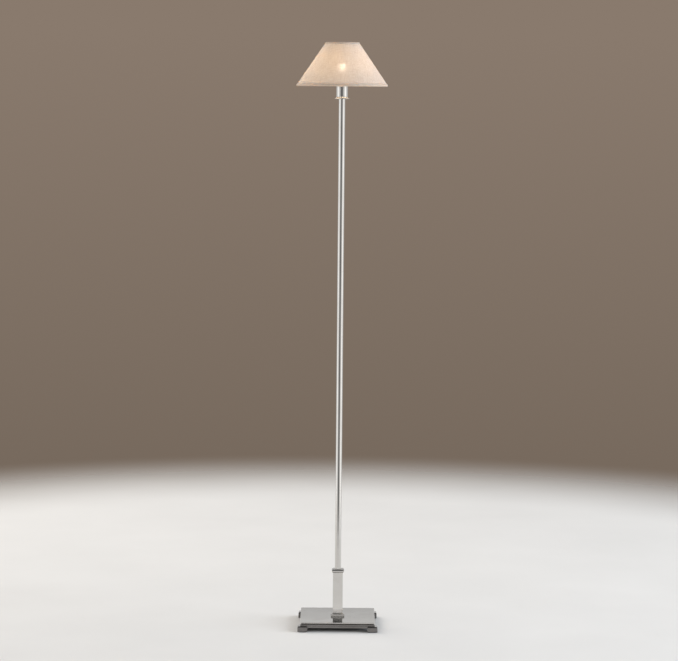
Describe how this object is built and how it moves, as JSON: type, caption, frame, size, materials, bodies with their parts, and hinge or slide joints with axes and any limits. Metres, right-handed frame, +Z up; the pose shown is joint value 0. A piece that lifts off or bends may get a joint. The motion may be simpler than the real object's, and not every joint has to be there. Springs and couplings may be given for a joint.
{
  "type": "floor lamp",
  "caption": "Slim candlestick floor lamp: weighted square base on block feet, short square column, thin round pole, flared cup, and a coned linen shade.",
  "frame": {"origin": "on the floor, on the pole's axis, in the middle of the four feet", "axes": "+Z up along the pole, front towards -Y with the switch knob at the back, +X to the right seen from the front"},
  "size_m": [0.2312, 0.2312, 1.4904],
  "materials": {
    "polished_nickel": "polished",
    "cast_iron": "rough",
    "black_enamel": "satin",
    "zinc_plated_steel": "satin",
    "black_plastic": "matte",
    "holder_plastic": "gloss",
    "contact_brass": "satin",
    "bulb_glass": "frosted",
    "bulb_cap_nickel": "satin",
    "black_glass": "gloss",
    "filament": "glowing",
    "linen": "woven",
    "shade_liner": "matte",
    "white_enamel": "satin",
    "lead_brown": "matte",
    "lead_blue": "matte",
    "pad_rubber": "matte"
  },
  "bodies": {
    "stand": {"ballast_block": "cast_iron", "base_skirt": "polished_nickel", "base_top_plate": "polished_nickel", "bottom_cover": "black_enamel", "centre_contact": "contact_brass", "column_cap": "polished_nickel", "column_plinth": "polished_nickel", "column_tube": "polished_nickel", "cord_bushing": "black_plastic", "foot_back_left": "polished_nickel", "foot_back_right": "polished_nickel", "foot_front_left": "polished_nickel", "foot_front_right": "polished_nickel", "foot_pad_back_left": "pad_rubber", "foot_pad_back_right": "pad_rubber", "foot_pad_front_left": "pad_rubber", "foot_pad_front_right": "pad_rubber", "foot_screws": "zinc_plated_steel", "holder_body": "holder_plastic", "holder_cap": "zinc_plated_steel", "lead_connectors": "black_plastic", "lead_live": "lead_brown", "lead_neutral": "lead_blue", "pole_bottom_plug": "zinc_plated_steel", "pole_coupler": "zinc_plated_steel", "pole_lower": "polished_nickel", "pole_top_plug": "zinc_plated_steel", "pole_upper": "polished_nickel", "rod_nut": "zinc_plated_steel", "rod_washer": "zinc_plated_steel", "screw_shell": "contact_brass", "shade_retaining_ring": "holder_plastic", "socket_cup": "polished_nickel", "switch_bushing": "polished_nickel", "switch_leaves": "contact_brass", "terminal_screws": "zinc_plated_steel", "terminals": "contact_brass", "tie_rod": "zinc_plated_steel", "top_nipple": "zinc_plated_steel"},
    "knob": {"switch_knob": "polished_nickel", "switch_shaft": "polished_nickel", "switch_cam": "black_plastic"},
    "bulb": {"bulb_glass": "bulb_glass", "bulb_cap": "bulb_cap_nickel", "bulb_insulator": "black_glass", "bulb_tip": "contact_brass", "bulb_stem": "bulb_glass", "bulb_filament": "filament"},
    "shade": {"shade_bottom_hem": "linen", "shade_bottom_ring": "white_enamel", "shade_fitter_ring": "polished_nickel", "shade_linen": "linen", "shade_liner": "shade_liner", "shade_spoke_1": "polished_nickel", "shade_spoke_2": "polished_nickel", "shade_spoke_3": "polished_nickel", "shade_top_hem": "linen", "shade_top_ring": "white_enamel"}
  },
  "joints": [
    {"name": "switch_turn", "type": "hinge", "parent": "stand", "child": "knob", "pos_m": [0, 0.0236, 1.3638], "axis": [0, 1, 0], "continuous": true},
    {"name": "shade_turn", "type": "hinge", "parent": "stand", "child": "shade", "pos_m": [0, 0, 1.3862], "axis": [0, 0, 1], "continuous": true},
    {"name": "bulb_out", "type": "slide", "parent": "stand", "child": "bulb", "axis": [0, 0, 1], "range_m": [0, 0.025]}
  ]
}
